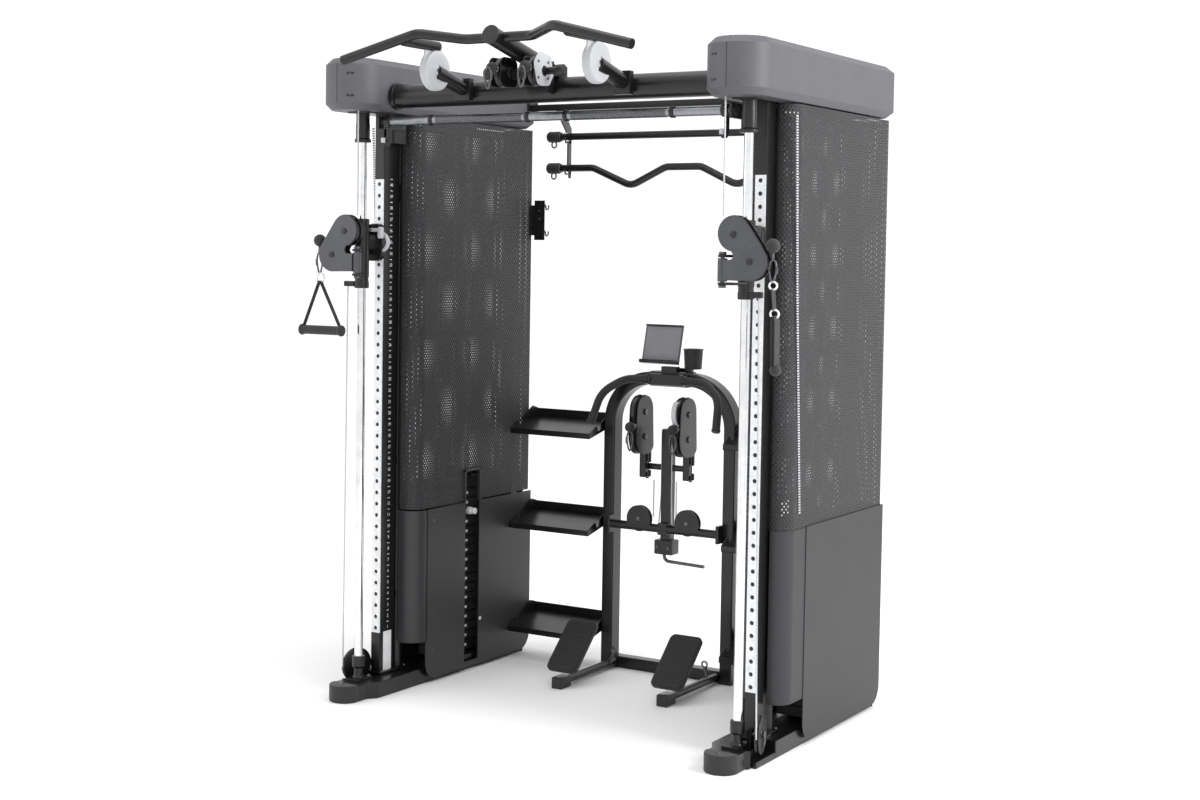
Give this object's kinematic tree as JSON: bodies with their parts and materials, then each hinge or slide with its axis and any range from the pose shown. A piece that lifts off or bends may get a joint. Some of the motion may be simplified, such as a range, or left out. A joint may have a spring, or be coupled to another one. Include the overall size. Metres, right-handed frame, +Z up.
{
  "type": "functional trainer",
  "caption": "Dual cable tower trainer with sliding pulley carriages, mesh screened weight stacks, pull-up bar, hooked press bar, rear rowing arch and dumbbell shelves.",
  "frame": {"origin": "centre of the footprint box on the floor", "axes": "+Z up along the columns, +X to the machine's right seen from the front, front towards -Y"},
  "size_m": [1.7556, 1.281, 2.1365],
  "materials": {
    "black_frame_paint": "satin textured powder coat, near black",
    "grey_cover": "satin dark grey moulded cover",
    "mesh_screen": "open woven dark grey mesh stretched over a frame",
    "chromed_steel": "polished hard chrome",
    "cast_plates": "black painted cast plates",
    "nylon_pulley": "machined black nylon",
    "housing_paint": "satin grey powder coat",
    "coated_cable": "clear coated steel cable",
    "black_rubber": "moulded black rubber"
  },
  "bodies": {
    "frame": {"base_rail_left": "black_frame_paint", "column_left": "black_frame_paint", "guide_rod_left": "chromed_steel", "hood_left": "grey_cover", "screen_left": "mesh_screen", "outer_cover_left": "grey_cover", "inner_cover_left": "grey_cover", "weight_stack_left": "cast_plates", "base_rail_right": "black_frame_paint", "column_right": "black_frame_paint", "guide_rod_right": "chromed_steel", "hood_right": "grey_cover", "screen_right": "mesh_screen", "outer_cover_right": "grey_cover", "inner_cover_right": "grey_cover", "weight_stack_right": "cast_plates", "shelf_top_left": "black_frame_paint", "shelf_middle_left": "black_frame_paint", "shelf_bottom_left": "black_frame_paint", "shelf_top_right": "black_frame_paint", "shelf_middle_right": "black_frame_paint", "shelf_bottom_right": "black_frame_paint", "upper_cable_left": "coated_cable", "lower_cable_left": "coated_cable", "upper_cable_right": "coated_cable", "lower_cable_right": "coated_cable", "crossbeam": "black_frame_paint", "rear_crossmember": "black_frame_paint", "chin_up_bar": "black_frame_paint", "lat_pulley_block": "black_frame_paint", "arch_frame": "black_frame_paint", "row_bar": "black_frame_paint"},
    "carriage_left": {"carriage_left": "black_frame_paint"},
    "pop_pin_left": {"pop_pin_left": "chromed_steel"},
    "pulley_housing_left": {"pulley_housing_left": "housing_paint"},
    "upper_pulley_left": {"upper_pulley_left": "nylon_pulley"},
    "lower_pulley_left": {"lower_pulley_left": "nylon_pulley"},
    "foot_pulley_left": {"foot_pulley_left": "nylon_pulley"},
    "stack_head_left": {"stack_head_left": "cast_plates"},
    "selector_pin_left": {"selector_pin_left": "chromed_steel"},
    "rear_pulley_housing_left": {"rear_pulley_housing_left": "housing_paint"},
    "foot_plate_left": {"foot_plate_left": "black_rubber"},
    "carriage_right": {"carriage_right": "black_frame_paint"},
    "pop_pin_right": {"pop_pin_right": "chromed_steel"},
    "pulley_housing_right": {"pulley_housing_right": "housing_paint"},
    "upper_pulley_right": {"upper_pulley_right": "nylon_pulley"},
    "lower_pulley_right": {"lower_pulley_right": "nylon_pulley"},
    "foot_pulley_right": {"foot_pulley_right": "nylon_pulley"},
    "stack_head_right": {"stack_head_right": "cast_plates"},
    "selector_pin_right": {"selector_pin_right": "chromed_steel"},
    "rear_pulley_housing_right": {"rear_pulley_housing_right": "housing_paint"},
    "foot_plate_right": {"foot_plate_right": "black_rubber"},
    "press_slides": {"press_slide_left": "black_frame_paint", "press_slide_right": "black_frame_paint"},
    "press_bar": {"press_bar": "black_frame_paint"},
    "tablet_holder": {"tablet_holder": "housing_paint"},
    "straight_bar": {"straight_bar": "black_frame_paint"},
    "curl_bar": {"curl_bar": "black_frame_paint"},
    "stirrup_handle": {"stirrup_handle": "black_rubber"},
    "ankle_strap": {"ankle_strap": "black_rubber"}
  },
  "joints": [
    {"name": "carriage_slide_left", "type": "slide", "parent": "frame", "child": "carriage_left", "axis": [0, 0, 1], "range_m": [-1.1049, 0.1524], "deforming": ["upper_cable_left", "lower_cable_left"]},
    {"name": "pop_pin_pull_left", "type": "slide", "parent": "carriage_left", "child": "pop_pin_left", "axis": [0, -1, 0], "range_m": [0, 0.012], "stiffness_N_per_m": 900},
    {"name": "housing_swivel_left", "type": "hinge", "parent": "carriage_left", "child": "pulley_housing_left", "pos_m": [-0.64357, -0.35951, 1.437], "axis": [0, 0, 1], "range_deg": [0, 150]},
    {"name": "upper_pulley_spin_left", "type": "hinge", "parent": "pulley_housing_left", "child": "upper_pulley_left", "pos_m": [-0.68457, -0.35951, 1.538], "axis": [0, 1, 0], "range_deg": [0, 2950]},
    {"name": "lower_pulley_spin_left", "type": "hinge", "parent": "pulley_housing_left", "child": "lower_pulley_left", "pos_m": [-0.73657, -0.35951, 1.462], "axis": [0, 1, 0], "continuous": true},
    {"name": "foot_pulley_spin_left", "type": "hinge", "parent": "frame", "child": "foot_pulley_left", "pos_m": [-0.73257, -0.23551, 0.086], "axis": [0.9713, -0.2377, 0], "range_deg": [0, 2250]},
    {"name": "stack_lift_left", "type": "slide", "parent": "frame", "child": "stack_head_left", "axis": [0, 0, 1], "range_m": [0, 1.05]},
    {"name": "selector_pin_pull_left", "type": "slide", "parent": "frame", "child": "selector_pin_left", "axis": [1, 0, 0], "range_m": [0, 0.06]},
    {"name": "rear_housing_swivel_left", "type": "hinge", "parent": "frame", "child": "rear_pulley_housing_left", "pos_m": [-0.06657, 0.54849, 0.7], "axis": [0, 0, 1], "range_deg": [-55, 10]},
    {"name": "foot_plate_tilt_left", "type": "hinge", "parent": "frame", "child": "foot_plate_left", "pos_m": [-0.18457, 0.20349, 0.07], "axis": [1, 0, 0], "range_deg": [-10, 22]},
    {"name": "carriage_slide_right", "type": "slide", "parent": "frame", "child": "carriage_right", "axis": [0, 0, 1], "range_m": [-1.1049, 0.1524], "deforming": ["upper_cable_right", "lower_cable_right"]},
    {"name": "pop_pin_pull_right", "type": "slide", "parent": "carriage_right", "child": "pop_pin_right", "axis": [0, -1, 0], "range_m": [0, 0.012], "stiffness_N_per_m": 900},
    {"name": "housing_swivel_right", "type": "hinge", "parent": "carriage_right", "child": "pulley_housing_right", "pos_m": [0.68243, -0.35951, 1.437], "axis": [0, 0, 1], "range_deg": [-150, 0]},
    {"name": "upper_pulley_spin_right", "type": "hinge", "parent": "pulley_housing_right", "child": "upper_pulley_right", "pos_m": [0.72343, -0.35951, 1.538], "axis": [0, -1, 0], "range_deg": [0, 2950]},
    {"name": "lower_pulley_spin_right", "type": "hinge", "parent": "pulley_housing_right", "child": "lower_pulley_right", "pos_m": [0.77543, -0.35951, 1.462], "axis": [0, -1, 0], "continuous": true},
    {"name": "foot_pulley_spin_right", "type": "hinge", "parent": "frame", "child": "foot_pulley_right", "pos_m": [0.77143, -0.23551, 0.086], "axis": [0.9713, 0.2377, 0], "range_deg": [0, 2250]},
    {"name": "stack_lift_right", "type": "slide", "parent": "frame", "child": "stack_head_right", "axis": [0, 0, 1], "range_m": [0, 1.05]},
    {"name": "selector_pin_pull_right", "type": "slide", "parent": "frame", "child": "selector_pin_right", "axis": [-1, 0, 0], "range_m": [0, 0.06]},
    {"name": "rear_housing_swivel_right", "type": "hinge", "parent": "frame", "child": "rear_pulley_housing_right", "pos_m": [0.10543, 0.54849, 0.7], "axis": [0, 0, 1], "range_deg": [-10, 55]},
    {"name": "foot_plate_tilt_right", "type": "hinge", "parent": "frame", "child": "foot_plate_right", "pos_m": [0.22343, 0.20349, 0.07], "axis": [1, 0, 0], "range_deg": [-10, 22]},
    {"name": "press_slide", "type": "slide", "parent": "frame", "child": "press_slides", "axis": [0, 0, 1], "range_m": [-1.25, 0]},
    {"name": "press_bar_turn", "type": "hinge", "parent": "press_slides", "child": "press_bar", "pos_m": [0.01943, -0.26151, 1.897], "axis": [1, 0, 0], "range_deg": [-60, 0]},
    {"name": "tablet_tilt", "type": "hinge", "parent": "frame", "child": "tablet_holder", "pos_m": [0.00143, 0.55049, 1.096], "axis": [1, 0, 0], "range_deg": [-25, 14]},
    {"name": "straight_bar_lift_off", "type": "slide", "parent": "frame", "child": "straight_bar", "axis": [0, -1, 0], "range_m": [0, 0.03]},
    {"name": "curl_bar_lift_off", "type": "slide", "parent": "frame", "child": "curl_bar", "axis": [0, -1, 0], "range_m": [0, 0.03]},
    {"name": "stirrup_swing", "type": "hinge", "parent": "pulley_housing_left", "child": "stirrup_handle", "pos_m": [-0.80057, -0.35951, 1.507], "axis": [1, 0, 0], "range_deg": [-60, 40]},
    {"name": "strap_swing", "type": "hinge", "parent": "pulley_housing_right", "child": "ankle_strap", "pos_m": [0.83943, -0.35951, 1.507], "axis": [1, 0, 0], "range_deg": [-60, 60]}
  ],
  "couplings": [
    {"joint": "upper_pulley_spin_left", "follows": "stack_lift_left", "rad_per_m": 48.2},
    {"joint": "foot_pulley_spin_left", "follows": "stack_lift_left", "rad_per_m": 36},
    {"joint": "upper_pulley_spin_right", "follows": "stack_lift_right", "rad_per_m": 48.2},
    {"joint": "foot_pulley_spin_right", "follows": "stack_lift_right", "rad_per_m": 36}
  ]
}
